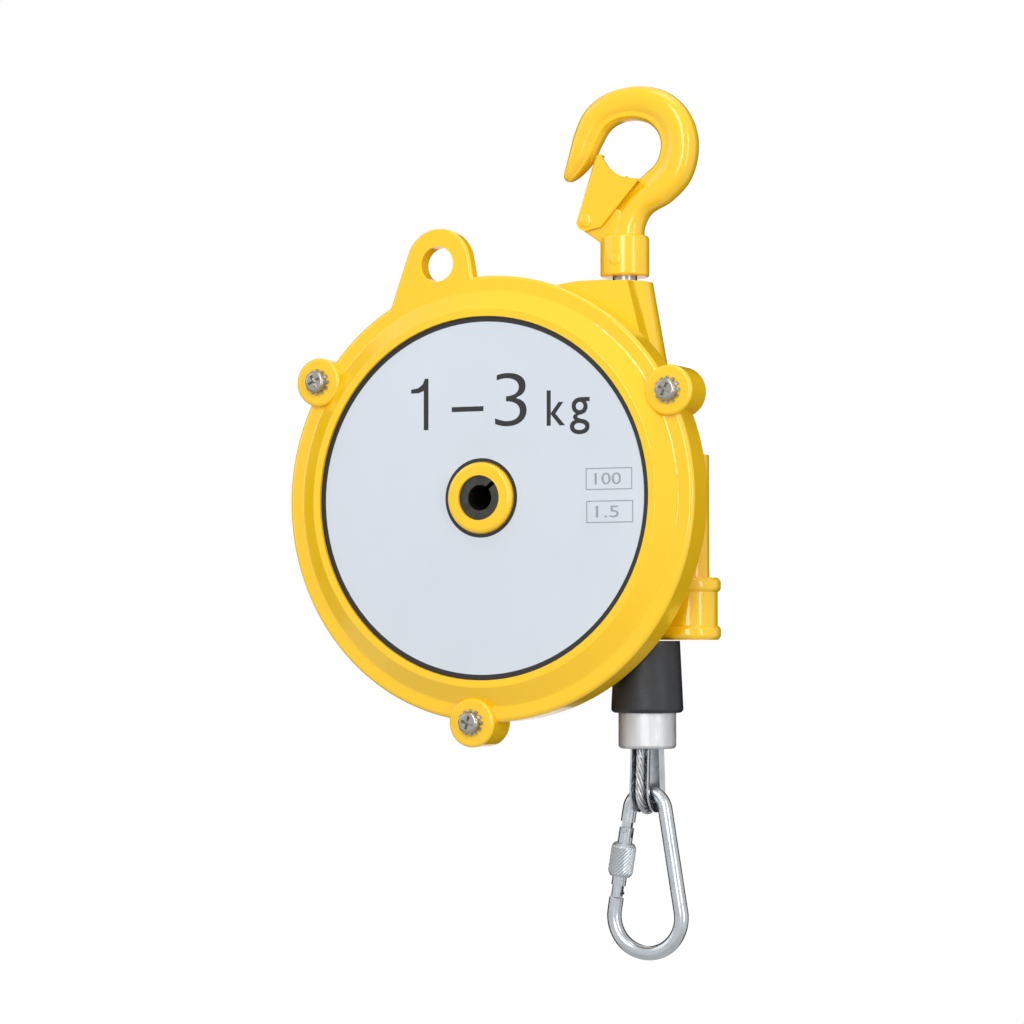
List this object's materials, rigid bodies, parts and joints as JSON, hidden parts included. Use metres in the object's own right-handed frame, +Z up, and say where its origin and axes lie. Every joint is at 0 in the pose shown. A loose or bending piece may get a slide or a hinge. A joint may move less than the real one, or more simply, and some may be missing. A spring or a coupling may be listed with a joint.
{
  "type": "tool balancer",
  "caption": "round spring balancer: closed housing with a tapered cable drum, swivel top hook with latch, and a steel cable ending in a rubber bumper and a screw-sleeve carabiner",
  "frame": {"origin": "on the drum axis, at the plane where cover and case meet", "axes": "+X right seen from the cover, +Y from cover to back along the drum axis, +Z up from carabiner to hook"},
  "size_m": [0.1538, 0.0497, 0.3008],
  "materials": {
    "yellow_enamel": "glossy yellow enamel on die-cast aluminium",
    "hook_enamel": "glossy yellow enamel on forged steel",
    "label_foil": "printed satin foil",
    "zinc_steel": "bright zinc plating",
    "dark_steel": "dark oiled steel",
    "spring_steel": "blued spring strip",
    "bronze": "plain bearing bronze",
    "cast_alloy": "machined casting",
    "wire_rope": "galvanised wire rope",
    "bumper_rubber": "satin black rubber",
    "ferrule_alloy": "satin pressed aluminium",
    "guide_nylon": "black nylon",
    "plug_brass": "turned brass"
  },
  "bodies": {
    "housing": {"rear_case": "yellow_enamel", "front_cover": "yellow_enamel", "label_plate": "label_foil", "cover_screws": "zinc_steel", "lock_washers": "zinc_steel", "cable_guide": "guide_nylon", "arbor_bush": "bronze", "worm_plug": "plug_brass", "thrust_washer": "dark_steel"},
    "worm": {"tension_worm": "dark_steel"},
    "wheel": {"arbor": "dark_steel", "wheel_key": "dark_steel", "worm_wheel": "bronze"},
    "reel": {"drum": "cast_alloy", "drum_lid": "cast_alloy", "front_bush": "bronze", "rear_bush": "bronze", "wound_cable": "wire_rope", "cable_stop": "dark_steel", "mainspring": "spring_steel"},
    "cable_end": {"cable_run": "wire_rope", "bumper": "bumper_rubber", "ferrule": "ferrule_alloy", "cable_loop": "wire_rope", "thimble": "zinc_steel"},
    "link": {"carabiner": "zinc_steel", "gate_pin": "zinc_steel"},
    "link_gate": {"gate": "zinc_steel"},
    "sleeve": {"locking_sleeve": "zinc_steel"},
    "hook": {"top_hook": "hook_enamel", "swivel_stud": "dark_steel", "cross_pin": "hook_enamel", "latch_rivet": "hook_enamel"},
    "hook_latch": {"latch": "hook_enamel"}
  },
  "joints": [
    {"name": "hook_swivel", "type": "hinge", "parent": "housing", "child": "hook", "pos_m": [0.0409, 0.0205, 0.076], "axis": [0, 0, 1], "continuous": true},
    {"name": "latch_hinge", "type": "hinge", "parent": "hook", "child": "hook_latch", "pos_m": [0.0288, 0.0205, 0.0963], "axis": [0, 1, 0], "range_deg": [0, 38], "stiffness_Nm_per_rad": 0.01, "springref_deg": -45.84},
    {"name": "worm_turn", "type": "hinge", "parent": "housing", "child": "worm", "pos_m": [0.0619, 0.028, 0], "axis": [0, 0, 1], "continuous": true},
    {"name": "wheel_turn", "type": "hinge", "parent": "housing", "child": "wheel", "pos_m": [0, 0.028, 0], "axis": [0, 1, 0], "continuous": true},
    {"name": "drum_turn", "type": "hinge", "parent": "housing", "child": "reel", "pos_m": [0, 0.01, 0], "axis": [0, 1, 0], "range_deg": [0, 1685], "stiffness_Nm_per_rad": 0.006, "springref_deg": -5156.62},
    {"name": "cable_pull", "type": "slide", "parent": "housing", "child": "cable_end", "axis": [0, 0, -1], "range_m": [0, 1.5], "deforming": ["cable_run"]},
    {"name": "carabiner_swing", "type": "hinge", "parent": "cable_end", "child": "link", "pos_m": [0.049, 0.0205, -0.09985], "axis": [1, 0, 0], "range_deg": [-60, 60]},
    {"name": "gate_hinge", "type": "hinge", "parent": "link", "child": "link_gate", "pos_m": [0.04126, 0.0205, -0.11353], "axis": [0, -1, 0], "range_deg": [0, 25], "stiffness_Nm_per_rad": 0.005, "springref_deg": -45.84},
    {"name": "sleeve_slide", "type": "slide", "parent": "link_gate", "child": "sleeve", "axis": [-0.162, 0, -0.9868], "range_m": [0, 0.0095]}
  ],
  "couplings": [
    {"joint": "cable_pull", "follows": "drum_turn", "m_per_rad": 0.051},
    {"joint": "worm_turn", "follows": "wheel_turn", "ratio": 117}
  ]
}
